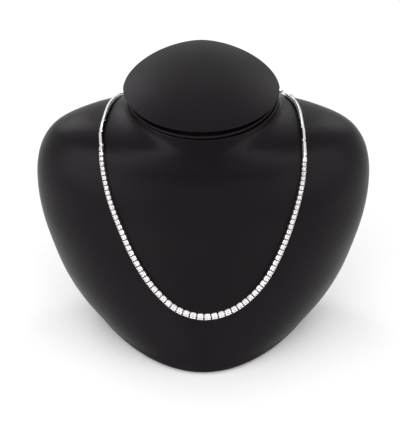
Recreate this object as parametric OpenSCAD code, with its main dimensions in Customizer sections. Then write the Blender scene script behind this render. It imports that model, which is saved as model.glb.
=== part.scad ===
// Graduated diamond line necklace lying on a padded neck bust.
// Millimetres. X is to the right, Y to the back and Z up.
// The origin is under the middle of the whole, on the surface that it stands on.

/* [Bust] */
// Width across the shoulders
bust_w = 191; // [176:1:206]
// Thickness of the felt pad under the base
pad_t = 1.2; // [0.8:0.1:2]
// Share of the base outline that the felt pad covers
pad_share = 0.93; // [0.85:0.01:0.96]
// Rings of the skin between the base and the neck
skin_rings = 46; // [24:2:50]
// Points round each ring of the skin
skin_points = 72; // [48:8:80]

/* [Neck cap] */
// Half the width of the padded cap
cap_half_w = 44.6; // [42:0.1:46]
// How far the cap reaches from its middle to the front
cap_front = 41.4; // [39:0.1:46]
// How far the cap reaches from its middle to the back
cap_back = 47.2; // [41:0.1:48]
// Height of the cap's rolled edge
cap_edge_h = 1.6; // [1.2:0.1:3]
// Rise of the padded dome above that edge
cap_dome_h = 6.5; // [3:0.5:8]
// Height of the dark recess under the cap
cap_recess_h = 1.6; // [1:0.1:2.5]
// Radius of the thin ring under the cap
ring_r = 43.2; // [42:0.1:45]
// Height of the ring
ring_h = 1.8; // [1.2:0.1:3]
// Height of the recess between the ring and the neck
ring_recess_h = 0.7; // [0.4:0.1:1.2]
// Radius inside the recess between the ring and the neck
recess_r = 41.4; // [40:0.1:42]
// How far the ring and the cap sit to the left of the middle
cap_shift = 1.1; // [0:0.1:1.5]

/* [Stones] */
// Length of thread that the centre stone takes up
centre_pitch = 4.05; // [3.6:0.05:4.4]
// Length of thread that the last stone on each side takes up
end_pitch = 2.62; // [2.4:0.02:3]
// How fast the stones shrink from the centre, 1 being evenly
grading = 1.2; // [0.8:0.1:2]
// Stones in each row piece, five rows to a side
stones_per_row = 7; // [5:1:7]
// How far the centre stone hangs to the left of the middle
centre_shift = 1.7; // [0:0.1:3]

/* [Plain links] */
// Length of the tapered link between the stones and the bars
taper_l = 3; // [2.5:0.1:5]
// Width of a bar link
bar_w = 2.1; // [1.8:0.1:2.6]
// Height of a bar link
bar_h = 1.7; // [1.4:0.1:2.2]
// Bar links from the right stones to the clasp
bars_right = 6; // [4:1:8]
// Bar links from the left stones to the clasp
bars_left = 19; // [17:1:21]

/* [Clasp] */
// Length of the clasp's box
clasp_l = 7.5; // [6:0.5:9]
// Width of the clasp's box
clasp_w = 3; // [2.6:0.1:3.6]
// Height of the clasp's box
clasp_h = 2; // [1.8:0.1:2.6]
// Outer radius of the safety loop at the clasp's end
loop_r = 1.6; // [1.4:0.1:2]

/* [Hidden] */
// Gap between pieces that lie against each other
gap = 0.1;
// Gap between the necklace and the skin that it lies on
seat = 0.3;
// Gap between neighbouring links, which the hinge rod bridges
link_gap = 0.38;
// Hinge rod between links, its radius and its height above a link's underside
rod_r = 0.32;
rod_z = 0.5;
// Length of a rod that lies inside its link
rod_root = 0.22;
// Shares of the stone's diameter
girdle_r = 0.5;
pavilion = 0.43;
girdle = 0.04;
crown = 0.15;
table_r = 0.28;
// Shares of the stone's diameter, for its setting
block_h = 0.38;
stone_z = 0.6;
prong_top = 0.74;
prong_r = 0.085;
bore_r = 0.36;
// Shares of the pitch
stone_share = 0.87;
setting_share = 0.96;

// Rings of the bust from the base up, where each crosses the front, the side and the back.
// The last two columns say how round the front and the back are, 2 being an ellipse.
FRONT_Y = 0;
FRONT_Z = 1;
SIDE_X = 2;
SIDE_Y = 3;
SIDE_Z = 4;
BACK_Y = 5;
BACK_Z = 6;
FRONT_ROUND = 7;
BACK_ROUND = 8;
RINGS = [
    // front y, z,  side x, y, z,       back y, z,  front, back roundness
    [0,    0,       61.5, 71,   0,      104, 0,     1.2,  2.3],
    [2.5,  13.5,    73,   71,   14,     107, 14,    1.33, 2.3],
    [7,    29,      81.3, 71,   30,     110, 30,    1.5,  2.3],
    [12.5, 47,      87.5, 71.5, 47,     113, 47,    1.65, 2.3],
    [18,   65,      92.5, 72.5, 64,     115, 63,    1.8,  2.3],
    [23,   81,      95.2, 74,   80,     117, 79,    1.9,  2.3],
    [27,   95,      95.4, 75,   96,     118, 92,    2,    2.2],
    [30,   106,     92,   76.5, 109.5,  118, 102,   2,    2.1],
    [31.5, 114,     84,   77,   120,    118, 110,   2,    2],
    [32.5, 120,     69.5, 77,   126.8,  118, 116,   2,    2],
    [33,   125,     52.5, 76.5, 130,    118, 124,   2,    2],
    [33,   129,     44.5, 76,   134,    118, 136,   2,    2],
    [33,   133,     43.2, 75.5, 139.2,  118, 145.4, 2,    2]
];
LAST_RING = len(RINGS) - 1;
TABLE_W = 191;
scale_k = bust_w / TABLE_W;
// Depth of the whole at the table's width, from the front of the base to the back of the cap
whole_d = 121.48;

// Route of the necklace on the skin, from the front middle round by the right.
// Each row is the angle round the neck, -90 at the front and 0 at the right, the ring that it crosses,
// and how many degrees the links lean outwards there, standing on their outer edges.
ANGLE = 0;
LEVEL = 1;
LEAN = 2;
ROUTE = [
    [-90, 2.22, 1],
    [-80, 2.36, 3],
    [-72.3, 2.73, 6],
    [-66.7, 3.25, 9],
    [-63.1, 3.86, 12],
    [-60.3, 4.55, 15],
    [-58, 5.27, 16],
    [-55.8, 5.99, 17],
    [-53.2, 6.83, 19],
    [-49.2, 7.8, 22],
    [-42.1, 8.63, 27],
    [-29.5, 9.33, 34],
    [-10.3, 9.81, 34],
    [18, 10.06, 20],
    [50, 9.92, 10],
    [90, 9.96, 8],
    [130, 9.92, 10],
    [165, 10.01, 20],
    [187.6, 9.82, 34],
    [203.1, 9.46, 34],
    [217.7, 8.86, 28],
    [225.9, 8.2, 23],
    [230.8, 7.46, 20],
    [234.2, 6.67, 18],
    [236.8, 5.92, 17],
    [239.5, 5.19, 16],
    [241.9, 4.6, 15],
    [244.3, 4.04, 12],
    [248, 3.43, 9],
    [253.1, 2.88, 6],
    [260.1, 2.42, 3]
];

// Rounded steps on a small round part
$fn = 32;

// Point between b and c on a smooth curve through four values or rows
function smooth(a, b, c, d, f) =
    0.5 * (2 * b + (c - a) * f + (2 * a - 5 * b + 4 * c - d) * f * f
           + (3 * b - a - 3 * c + d) * f * f * f);

function unit(v) = v / norm(v);

// Ring row at a level between 0 at the base and LAST_RING at the neck
function ring_row(level) =
    let (i = max(0, min(LAST_RING - 1, floor(level))),
         below = i > 0 ? RINGS[i - 1] : 2 * RINGS[0] - RINGS[1],
         above = i + 2 <= LAST_RING ? RINGS[i + 2] : 2 * RINGS[LAST_RING] - RINGS[LAST_RING - 1])
    smooth(below, RINGS[i], RINGS[i + 1], above, level - i);

// Parabola through three points of a side view
function through(y, y0, z0, y1, z1, y2, z2) =
    z0 * (y - y1) * (y - y2) / ((y0 - y1) * (y0 - y2))
    + z1 * (y - y0) * (y - y2) / ((y1 - y0) * (y1 - y2))
    + z2 * (y - y0) * (y - y1) / ((y2 - y0) * (y2 - y1));

// Point of the skin at an angle round the neck and a ring level
function skin(angle, level) =
    let (r = ring_row(level),
         s = sin(angle),
         c = cos(angle),
         is_front = s < 0,
         power = 2 / (is_front ? r[FRONT_ROUND] : r[BACK_ROUND]),
         reach = (is_front ? r[FRONT_Y] : r[BACK_Y]) - r[SIDE_Y],
         x = r[SIDE_X] * (is_front ? c : sign(c) * pow(abs(c), power)),
         y = r[SIDE_Y] + reach * pow(abs(s), power),
         z = through(y, r[FRONT_Y], r[FRONT_Z], r[SIDE_Y], r[SIDE_Z], r[BACK_Y], r[BACK_Z]))
    scale_k * [x, y - whole_d / 2, z] + [0, 0, pad_t + gap];

// Outward direction of the skin there
function skin_normal(angle, level) =
    let (round = skin(angle + 0.5, level) - skin(angle - 0.5, level),
         up = skin(angle, level + 0.02) - skin(angle, level - 0.02))
    unit(cross(round, up));

// Route row at a place u along the table, which closes on itself
ROUTE_N = len(ROUTE);
function route_point(i) =
    let (turns = floor(i / ROUTE_N))
    ROUTE[i - turns * ROUTE_N] + [360 * turns, 0, 0];
function route_at(u) =
    let (i = floor(u))
    smooth(route_point(i - 1), route_point(i), route_point(i + 1), route_point(i + 2), u - i);
function route_skin(u) = let (r = route_at(u)) skin(r[ANGLE], r[LEVEL]);

// Table of the thread's length from the front middle, against the place on the route
ROUTE_FINE = 10;
FINE = [for (i = [0:ROUTE_N * ROUTE_FINE]) route_skin(i / ROUTE_FINE)];
STEPS = [for (i = [1:len(FINE) - 1]) norm(FINE[i] - FINE[i - 1])];
LENGTHS = [for (i = 0, total = 0; i <= len(STEPS); total = total + (i < len(STEPS) ? STEPS[i] : 0),
                i = i + 1) [total, i / ROUTE_FINE]];
loop_l = LENGTHS[len(LENGTHS) - 1][0];
function thread_place(s) = lookup(s < 0 ? s + loop_l : s > loop_l ? s - loop_l : s, LENGTHS);
function thread_point(s) = route_skin(thread_place(s));
function thread_normal(s) = let (r = route_at(thread_place(s))) skin_normal(r[ANGLE], r[LEVEL]);
function thread_lean(s) = route_at(thread_place(s))[LEAN];

// Axes and underside of a link of length l and width w whose middle is at s: along, across, outward, origin
ALONG = 0;
ACROSS = 1;
OUTWARD = 2;
ORIGIN = 3;
function link_frame(s, l, w) =
    let (a = thread_point(s - l / 2),
         b = thread_point(s + l / 2),
         along = unit(b - a),
         normal = thread_normal(s),
         up = unit(normal - (normal * along) * along),
         lean = thread_lean(s),
         outward = cos(lean) * up - sin(lean) * cross(up, along),
         bulge = (thread_point(s) - (a + b) / 2) * up,
         lift = max(0, bulge) + seat + w / 2 * sin(lean))
    [along, cross(outward, along), outward, (a + b) / 2 + lift * up];

// Place of a point given in a link's own frame
function in_frame(f, p) = f[ORIGIN] + p.x * f[ALONG] + p.y * f[ACROSS] + p.z * f[OUTWARD];

module at_frame(f)
    multmatrix([
        [f[ALONG].x, f[ACROSS].x, f[OUTWARD].x, f[ORIGIN].x],
        [f[ALONG].y, f[ACROSS].y, f[OUTWARD].y, f[ORIGIN].y],
        [f[ALONG].z, f[ACROSS].z, f[OUTWARD].z, f[ORIGIN].z],
        [0, 0, 0, 1]
    ])
        children();

// Round rod from one point to another
module rod_between(p, q, r)
    let (along = unit(q - p),
         side = unit(cross(abs(along.z) < 0.9 ? [0, 0, 1] : [1, 0, 0], along)))
        at_frame([side, cross(along, side), along, p])
            cylinder(h = norm(q - p), r = r);

// Graduated stones, counted from the centre
rows_per_side = 5;
side_n = rows_per_side * stones_per_row;
function pitch(k) = end_pitch + (centre_pitch - end_pitch) * pow(1 - abs(k) / side_n, grading);
CENTRES = [for (k = 0, s = 0; k <= side_n; s = s + (pitch(k) + pitch(k + 1 > side_n ? k : k + 1)) / 2,
                k = k + 1) s];
function stone_s(k) = (k < 0 ? -1 : 1) * CENTRES[abs(k)] - centre_shift;
function stone_d(k) = stone_share * pitch(k);
function setting_l(k) = pitch(k) - link_gap;
function setting_w(k) = setting_share * pitch(k);
function setting_frame(k) = link_frame(stone_s(k), setting_l(k), setting_w(k));
side_l = CENTRES[side_n] + end_pitch / 2;

// Thread length where the stones end on each side, and where the bars start
right_end = side_l - centre_shift;
left_end = -side_l - centre_shift;
clasp_whole_l = clasp_l + 2 * loop_r;
bar_pitch = (loop_l - 2 * side_l - 2 * taper_l - clasp_whole_l) / (bars_right + bars_left);
bars_right_start = right_end + taper_l;
clasp_start = bars_right_start + bars_right * bar_pitch;
bars_left_start = clasp_start + clasp_whole_l;

// Closed solid through rings of n points each, from the lowest one up
module stacked(rings, n) {
    points = [for (ring = rings) each ring];
    last = (len(rings) - 1) * n;
    walls = [for (i = [0:len(rings) - 2]) for (j = [0:n - 1])
        let (a = i * n + j, b = i * n + (j + 1) % n)
            each [[a, a + n, b], [b, a + n, b + n]]];
    base = [for (j = [0:n - 1]) j];
    top = [for (j = [n - 1:-1:0]) last + j];
    polyhedron(points, concat(walls, [base, top]), convexity = 6);
}

// Padded chest, shoulders and neck
module bust_body()
    color("#26262a")
        stacked([for (i = [0:skin_rings]) [for (j = [0:skin_points - 1])
            skin(360 * j / skin_points, LAST_RING * i / skin_rings)]], skin_points);

// Felt pad that the bust stands on, inside the outline of its base
module base_pad() {
    outline = [for (j = [0:skin_points - 1])
        let (p = skin(360 * j / skin_points, 0)) pad_share * [p.x, p.y]];
    color("#1c1c1c")
        linear_extrude(height = pad_t)
            polygon(outline);
}

// The neck's rim is a circle tilted up to the back
rim_front = skin(-90, LAST_RING);
rim_back = skin(90, LAST_RING);
rim_middle = (rim_front + rim_back) / 2;
rim_tilt = atan2(rim_back.z - rim_front.z, rim_back.y - rim_front.y);
module on_rim(h)
    translate(rim_middle - [cap_shift, 0, 0])
        rotate([rim_tilt, 0, 0])
            translate([0, 0, h])
                children();

ring_edge_r = ring_h / 2;
ring_total_h = ring_recess_h + ring_h;

// Thin leather ring with a rounded edge, standing on a narrow recess
module neck_ring()
    color("#2c2c30")
        on_rim(gap)
            rotate_extrude($fn = 96)
                union() {
                    square([recess_r, ring_total_h]);
                    translate([0, ring_recess_h])
                        square([ring_r - ring_edge_r, ring_h]);
                    translate([ring_r - ring_edge_r, ring_recess_h + ring_edge_r])
                        circle(r = ring_edge_r);
                }

// The cap's outline is round at the front and a little pointed at the back
cap_points = 96;
cap_back_round = 1.75;
function cap_ring(share, z) =
    [for (j = [0:cap_points - 1])
        let (angle = 360 * j / cap_points,
             s = sin(angle),
             c = cos(angle),
             power = s > 0 ? 2 / cap_back_round : 1,
             reach = s > 0 ? cap_back : cap_front)
            [share * cap_half_w * sign(c) * pow(abs(c), power), share * reach * sign(s) * pow(abs(s), power), z]];

// The dome starts on the rolled edge and is steepest there
cap_foot_share = 0.9;
cap_roll_share = 0.985;
cap_top_share = 0.04;
cap_dome_rings = 14;
cap_dome_power = 2.3;
cap_top_z = cap_recess_h + cap_edge_h;

// Padded cap with a low dome, over the dark recess
module neck_cap()
    color("#303034")
        on_rim(ring_total_h + 2 * gap)
            stacked(concat(
                [cap_ring(cap_foot_share, 0), cap_ring(cap_foot_share, cap_recess_h)],
                [for (k = [0:5])
                    let (up = k / 5, out = sqrt(max(0, 1 - pow(2 * up - 1, 2))))
                        cap_ring(cap_roll_share + (1 - cap_roll_share) * out,
                                 cap_recess_h + cap_edge_h * (0.02 + 0.96 * up))],
                [for (k = [0:cap_dome_rings])
                    let (share = 0.975 + (cap_top_share - 0.975) * k / cap_dome_rings)
                        cap_ring(share, cap_top_z + cap_dome_h * (1 - pow(share, cap_dome_power)))]
            ), cap_points);

// Square collet with four prongs, in its own frame
module setting(k) {
    d = stone_d(k);
    l = setting_l(k);
    w = setting_w(k);
    r = prong_r * d;
    inset = r + 0.05;
    union() {
        difference() {
            translate([-l / 2, -w / 2, 0])
                cube([l, w, block_h * d]);
            translate([0, 0, -1])
                cylinder(h = block_h * d + 2, r = bore_r * d);
        }
        for (x = [-1, 1], y = [-1, 1])
            translate([x * (l / 2 - inset), y * (w / 2 - inset), block_h * d / 2])
                cylinder(h = (prong_top - block_h / 2) * d, r = r);
    }
}

// Round brilliant, in its setting's frame
module stone(k) {
    d = stone_d(k);
    top = stone_z + girdle + crown;
    rotate_extrude($fn = 48)
        polygon(d * [
            [0, stone_z - pavilion],
            [girdle_r, stone_z],
            [girdle_r, stone_z + girdle],
            [table_r, top],
            [0, top]
        ]);
}

// Place on a link's end where its hinge rod starts, end being -1 or 1
function rod_end(f, l, end, out) = in_frame(f, [end * (l / 2 + out), 0, rod_z]);

// Row of settings from stone a to stone b, hinged to each other and towards the next link
module setting_row(a, b)
    color("silver")
        union() {
            for (k = [a:b])
                at_frame(setting_frame(k))
                    setting(k);
            if (b > a)
                for (k = [a:b - 1])
                    rod_between(rod_end(setting_frame(k), setting_l(k), 1, -rod_root),
                                rod_end(setting_frame(k + 1), setting_l(k + 1), -1, -rod_root), rod_r);
            rod_between(rod_end(setting_frame(b), setting_l(b), 1, -rod_root),
                        rod_end(setting_frame(b), setting_l(b), 1, link_gap - 2 * gap), rod_r);
        }

module stone_row(a, b)
    color("aliceblue")
        for (k = [a:b])
            at_frame(setting_frame(k))
                stone(k);

// Rows of one side are counted outwards from the centre
module left_row(i) setting_row(-i * stones_per_row, -(i - 1) * stones_per_row - 1);
module right_row(i) setting_row((i - 1) * stones_per_row + 1, i * stones_per_row);
module left_stones(i) stone_row(-i * stones_per_row, -(i - 1) * stones_per_row - 1);
module right_stones(i) stone_row((i - 1) * stones_per_row + 1, i * stones_per_row);

// Hinge rod that a link reaches out to the next one with
module reach_rod(l)
    rod_between([l / 2 - rod_root, 0, rod_z], [l / 2 + link_gap - 2 * gap, 0, rod_z], rod_r);

taper_w = setting_share * end_pitch + 0.3;

// Tapered link, wide towards the stones and narrow towards the bars. side is 1 on the right
module taper(s, side)
    let (l = taper_l - link_gap,
         start_w = side > 0 ? taper_w : bar_w,
         end_w = side > 0 ? bar_w : taper_w)
        color("silver")
            at_frame(link_frame(s, l, taper_w))
                union() {
                    linear_extrude(height = bar_h)
                        polygon([
                            [-l / 2, -start_w / 2],
                            [l / 2, -end_w / 2],
                            [l / 2, end_w / 2],
                            [-l / 2, start_w / 2]
                        ]);
                    reach_rod(l);
                }

bar_dome_r = 1.6;

// Plain bar link with a low domed top
module bar(s)
    let (l = bar_pitch - link_gap)
        color("silver")
            at_frame(link_frame(s, l, bar_w))
                union() {
                    rotate([90, 0, 90])
                        translate([0, 0, -l / 2])
                            linear_extrude(height = l)
                                intersection() {
                                    translate([-bar_w / 2, 0])
                                        square([bar_w, bar_h]);
                                    translate([0, bar_h - bar_dome_r])
                                        circle(r = bar_dome_r, $fn = 64);
                                }
                    reach_rod(l);
                }

module bar_right(i) bar(bars_right_start + (i - 0.5) * bar_pitch);
module bar_left(i) bar(bars_left_start + (i - 0.5) * bar_pitch);

loop_wire_r = 0.35;
button_r = 0.7;

// Box clasp with its push button and its safety loop, one plain piece
module clasp()
    let (l = clasp_l,
         f = link_frame(clasp_start + clasp_whole_l / 2, clasp_whole_l - link_gap, clasp_w),
         start = -(clasp_whole_l - link_gap) / 2)
        color("silver")
            at_frame(f)
                union() {
                    translate([start, -clasp_w / 2, 0])
                        cube([l, clasp_w, clasp_h]);
                    translate([start + l / 2, 0, clasp_h / 2])
                        cylinder(h = clasp_h / 2 + 0.3, r = button_r);
                    translate([start + l + loop_r - loop_wire_r, 0, clasp_h / 2])
                        rotate_extrude()
                            translate([loop_r - loop_wire_r, 0])
                                circle(r = loop_wire_r, $fn = 24);
                    rod_between([start + l + 2 * loop_r - 2 * loop_wire_r, 0, clasp_h / 2],
                                [-start + link_gap - 2 * gap, 0, clasp_h / 2], loop_wire_r);
                }

bust_body();
base_pad();
neck_ring();
neck_cap();
left_row(5);  // row_left_5
left_row(4);  // row_left_4
left_row(3);  // row_left_3
left_row(2);  // row_left_2
left_row(1);  // row_left_1
setting_row(0, 0);  // row_centre
right_row(1);  // row_right_1
right_row(2);  // row_right_2
right_row(3);  // row_right_3
right_row(4);  // row_right_4
right_row(5);  // row_right_5
left_stones(5);  // stones_left_5
left_stones(4);  // stones_left_4
left_stones(3);  // stones_left_3
left_stones(2);  // stones_left_2
left_stones(1);  // stones_left_1
stone_row(0, 0);  // stone_centre
right_stones(1);  // stones_right_1
right_stones(2);  // stones_right_2
right_stones(3);  // stones_right_3
right_stones(4);  // stones_right_4
right_stones(5);  // stones_right_5
taper(left_end - taper_l / 2, -1);  // taper_left
taper(right_end + taper_l / 2, 1);  // taper_right
bar_right(1);  // bar_right_1
bar_right(2);  // bar_right_2
bar_right(3);  // bar_right_3
bar_right(4);  // bar_right_4
bar_right(5);  // bar_right_5
bar_right(6);  // bar_right_6
clasp();
bar_left(1);  // bar_left_1
bar_left(2);  // bar_left_2
bar_left(3);  // bar_left_3
bar_left(4);  // bar_left_4
bar_left(5);  // bar_left_5
bar_left(6);  // bar_left_6
bar_left(7);  // bar_left_7
bar_left(8);  // bar_left_8
bar_left(9);  // bar_left_9
bar_left(10);  // bar_left_10
bar_left(11);  // bar_left_11
bar_left(12);  // bar_left_12
bar_left(13);  // bar_left_13
bar_left(14);  // bar_left_14
bar_left(15);  // bar_left_15
bar_left(16);  // bar_left_16
bar_left(17);  // bar_left_17
bar_left(18);  // bar_left_18
bar_left(19);  // bar_left_19
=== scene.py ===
"""A graduated diamond line necklace on a black leatherette neck bust, in the row's own frame and in metres."""
import math

import bmesh
import bpy
import numpy as np
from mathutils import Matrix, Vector
from mathutils.bvhtree import BVHTree


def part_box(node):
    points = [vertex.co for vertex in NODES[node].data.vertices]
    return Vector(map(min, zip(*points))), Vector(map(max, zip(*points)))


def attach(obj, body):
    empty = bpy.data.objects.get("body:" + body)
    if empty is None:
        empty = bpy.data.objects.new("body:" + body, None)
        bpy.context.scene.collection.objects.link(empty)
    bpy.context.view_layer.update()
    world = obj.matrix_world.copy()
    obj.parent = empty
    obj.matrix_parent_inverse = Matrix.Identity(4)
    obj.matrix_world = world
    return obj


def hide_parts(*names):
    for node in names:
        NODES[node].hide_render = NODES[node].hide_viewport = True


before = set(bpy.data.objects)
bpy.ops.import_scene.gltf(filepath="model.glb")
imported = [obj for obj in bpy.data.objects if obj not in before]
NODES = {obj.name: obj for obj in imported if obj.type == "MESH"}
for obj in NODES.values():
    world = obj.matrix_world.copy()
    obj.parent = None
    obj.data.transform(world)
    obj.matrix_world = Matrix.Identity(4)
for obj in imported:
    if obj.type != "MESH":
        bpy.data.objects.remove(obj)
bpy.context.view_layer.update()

MM = 0.001
# Points closer than this are one point, and points within NEAR of a flat lie on it
MERGE = 1e-7
NEAR = 0.01 * MM

# A stone's diameter and its collet's width, as shares of the collet's pitch along the chain
STONE_SHARE = 0.87
SETTING_SHARE = 0.96
LINK_GAP = 0.38 * MM

# The cut of a stone, in shares of its diameter
CULET_Z = 0.17
GIRDLE_Z = 0.6
GIRDLE_H = 0.035
CROWN_H = 0.15
TABLE_R = 0.28
PAVILION_H = 0.43
STAR_REACH = 0.5
LOWER_HALF_REACH = 0.23
MAINS = 8

BARS_RIGHT = 6
BARS_LEFT = 19


# Camera

CAMERA_ELEVATION = math.radians(30)
CAMERA_DISTANCE = 2.0
CAMERA_TARGET = Vector((-1.9, -2.3, 73.7)) * MM
FRAME_HEIGHT = 243.2 * MM
SENSOR = 36.0
CLIP = (0.05, 20.0)


def make_camera():
    """Camera in front of the object, that looks down at it as the photograph does."""
    data = bpy.data.cameras.new("camera")
    camera = bpy.data.objects.new("camera", data)
    bpy.context.scene.collection.objects.link(camera)
    back = Vector((0, -math.cos(CAMERA_ELEVATION), math.sin(CAMERA_ELEVATION)))
    camera.location = CAMERA_TARGET + CAMERA_DISTANCE * back
    camera.rotation_euler = (math.pi / 2 - CAMERA_ELEVATION, 0, 0)
    data.sensor_width = SENSOR
    data.lens = SENSOR * CAMERA_DISTANCE / FRAME_HEIGHT
    data.clip_start, data.clip_end = CLIP
    bpy.context.scene.camera = camera


# Materials

def new_material(name):
    material = bpy.data.materials.new(name)
    material.use_nodes = True
    tree = material.node_tree
    return material, tree, tree.nodes["Principled BSDF"]


def noise(tree, scale, detail=2.0, roughness=0.5, distortion=0.0):
    node = tree.nodes.new("ShaderNodeTexNoise")
    node.inputs["Scale"].default_value = scale
    node.inputs["Detail"].default_value = detail
    node.inputs["Roughness"].default_value = roughness
    node.inputs["Distortion"].default_value = distortion
    tree.links.new(object_place(tree), node.inputs["Vector"])
    return node.outputs["Fac"]


def voronoi(tree, scale, feature):
    node = tree.nodes.new("ShaderNodeTexVoronoi")
    node.feature = feature
    node.inputs["Scale"].default_value = scale
    tree.links.new(object_place(tree), node.inputs["Vector"])
    return node.outputs["Distance"]


def object_place(tree):
    """Object coordinates, from one node for each material."""
    found = [n for n in tree.nodes if n.bl_idname == "ShaderNodeTexCoord"]
    node = found[0] if found else tree.nodes.new("ShaderNodeTexCoord")
    return node.outputs["Object"]


def mapped(tree, value, low, high, to_low, to_high):
    """Value, moved from the range low to high into the range to_low to to_high."""
    node = tree.nodes.new("ShaderNodeMapRange")
    tree.links.new(value, node.inputs["Value"])
    for name, number in (("From Min", low), ("From Max", high), ("To Min", to_low), ("To Max", to_high)):
        node.inputs[name].default_value = number
    return node.outputs["Result"]


def combined(tree, operation, a, b):
    node = tree.nodes.new("ShaderNodeMath")
    node.operation = operation
    for socket, value in zip(node.inputs, (a, b)):
        if isinstance(value, (int, float)):
            socket.default_value = value
        else:
            tree.links.new(value, socket)
    return node.outputs["Value"]


def blended(tree, factor, dark, light):
    node = tree.nodes.new("ShaderNodeMix")
    node.data_type = "RGBA"
    tree.links.new(factor, node.inputs["Factor"])
    node.inputs["A"].default_value = (*dark, 1)
    node.inputs["B"].default_value = (*light, 1)
    return node.outputs["Result"]


def bumped(tree, height, distance, strength=1.0, under=None):
    node = tree.nodes.new("ShaderNodeBump")
    node.inputs["Distance"].default_value = distance
    node.inputs["Strength"].default_value = strength
    tree.links.new(height, node.inputs["Height"])
    if under is not None:
        tree.links.new(under, node.inputs["Normal"])
    return node.outputs["Normal"]


def leatherette():
    """Black leatherette with a fine pebble grain, pores between the pebbles and a low satin sheen."""
    material, tree, shader = new_material("black_leatherette")
    pebbles = voronoi(tree, 1900, "SMOOTH_F1")
    creases = voronoi(tree, 900, "DISTANCE_TO_EDGE")
    cloud = noise(tree, 46, 4, 0.55)
    fine = noise(tree, 2600, 3, 0.6)
    grain = combined(tree, "SUBTRACT", mapped(tree, creases, 0.0, 0.09, 0.0, 0.35),
                     mapped(tree, pebbles, 0.0, 1.0, 0.0, 0.6))
    rough = combined(tree, "ADD", mapped(tree, cloud, 0.3, 0.7, 0.35, 0.40),
                     mapped(tree, fine, 0.3, 0.7, -0.03, 0.04))
    tree.links.new(rough, shader.inputs["Roughness"])
    tree.links.new(blended(tree, cloud, (0.0022, 0.0018, 0.0022), (0.0034, 0.0027, 0.0033)),
                   shader.inputs["Base Color"])
    swell = bumped(tree, cloud, 0.12 * MM, 0.6)
    normal = bumped(tree, grain, 0.035 * MM, 1.0, swell)
    tree.links.new(bumped(tree, fine, 0.008 * MM, 1.0, normal), shader.inputs["Normal"])
    shader.inputs["Specular IOR Level"].default_value = 0.145
    shader.inputs["Specular Tint"].default_value = (1.0, 0.9, 0.99, 1)
    return material


def felt():
    """Black wool felt with short tangled fibres."""
    material, tree, shader = new_material("felt")
    fibre = noise(tree, 1400, 6, 0.75, 1.2)
    cloud = noise(tree, 160, 3, 0.5)
    tree.links.new(blended(tree, fibre, (0.004, 0.004, 0.004), (0.026, 0.026, 0.027)),
                   shader.inputs["Base Color"])
    tree.links.new(mapped(tree, cloud, 0.3, 0.7, 0.85, 0.98), shader.inputs["Roughness"])
    tree.links.new(bumped(tree, fibre, 0.2 * MM, 1.0), shader.inputs["Normal"])
    shader.inputs["Sheen Weight"].default_value = 0.3
    shader.inputs["Sheen Roughness"].default_value = 0.5
    return material


def white_gold():
    """Polished rhodium-plated white gold, with faint polishing marks and duller patches here and there."""
    material, tree, shader = new_material("white_gold")
    cloud = noise(tree, 700, 3, 0.6)
    marks = noise(tree, 9000, 2, 0.5, 0.6)
    tree.links.new(blended(tree, cloud, (0.83, 0.81, 0.81), (0.91, 0.89, 0.885)),
                   shader.inputs["Base Color"])
    tree.links.new(mapped(tree, cloud, 0.3, 0.7, 0.09, 0.19), shader.inputs["Roughness"])
    tree.links.new(bumped(tree, marks, 0.002 * MM, 0.6), shader.inputs["Normal"])
    shader.inputs["Metallic"].default_value = 1.0
    return material


def diamond():
    """Clear faceted diamond, with the faintest haze of handling."""
    material, tree, shader = new_material("diamond")
    haze = noise(tree, 900, 2, 0.5)
    tree.links.new(mapped(tree, haze, 0.35, 0.75, 0.0, 0.03), shader.inputs["Roughness"])
    tree.links.new(blended(tree, haze, (0.85, 0.815, 0.815), (0.92, 0.885, 0.885)),
                   shader.inputs["Base Color"])
    shader.inputs["Transmission Weight"].default_value = 1.0
    shader.inputs["IOR"].default_value = 2.42
    return material


def floor_paper_and_painted_light():
    """White paper with a faint painted glow under the object, and painted shade on it in front, outside the
    picture.
    """
    material, tree, shader = new_material("floor_paper_and_painted_light")
    pulp = noise(tree, 220, 4, 0.6)
    tree.links.new(bumped(tree, pulp, 0.02 * MM, 0.3), shader.inputs["Normal"])
    shader.inputs["Roughness"].default_value = 0.9
    shader.inputs["Specular IOR Level"].default_value = 0.1
    place = tree.nodes.new("ShaderNodeSeparateXYZ")
    tree.links.new(object_place(tree), place.inputs["Vector"])
    # Painted shade: in front of the object the paper darkens, standing in for the dark surroundings there; lit
    # is 0 in that painted shade and 1 behind it
    lit = mapped(tree, place.outputs["Y"], FLOOR_PAINTED_SHADE_FULL, FLOOR_PAINTED_SHADE_EDGE, 0.0, 1.0)
    lit.node.interpolation_type = "SMOOTHSTEP"
    pulp_and_painted_shade = combined(tree, "ADD", combined(tree, "MULTIPLY", lit, 1 - PULP_SHARE),
                    combined(tree, "MULTIPLY", pulp, PULP_SHARE))
    tree.links.new(blended(tree, pulp_and_painted_shade, (FLOOR_PAINTED_SHADE_TONE,) * 3, (FLOOR_TONE,) * 3),
                   shader.inputs["Base Color"])
    # Painted light: the paper glows though it is no lamp, fading towards the back and gone in the painted
    # shade in front
    shader.inputs["Emission Color"].default_value = (1, 1, 1, 1)
    glow = mapped(tree, place.outputs["Y"], *FLOOR_PAINTED_GLOW_ENDS, FLOOR_PAINTED_GLOW, 0.0)
    tree.links.new(combined(tree, "MULTIPLY", lit, glow), shader.inputs["Emission Strength"])
    return material


# Meshes

def new_piece(name, shape, material, node, smooth=True):
    """Makes a piece of the object that stands for the CAD node named."""
    mesh = bpy.data.meshes.new(name)
    mesh.from_pydata([tuple(p) for p in shape.points], [], shape.faces)
    mesh.validate()
    mesh.update()
    mesh.polygons.foreach_set("use_smooth", [smooth] * len(mesh.polygons))
    mesh.materials.append(material)
    piece = bpy.data.objects.new(name, mesh)
    bpy.context.scene.collection.objects.link(piece)
    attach(piece, "root")
    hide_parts(node)
    return piece


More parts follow.
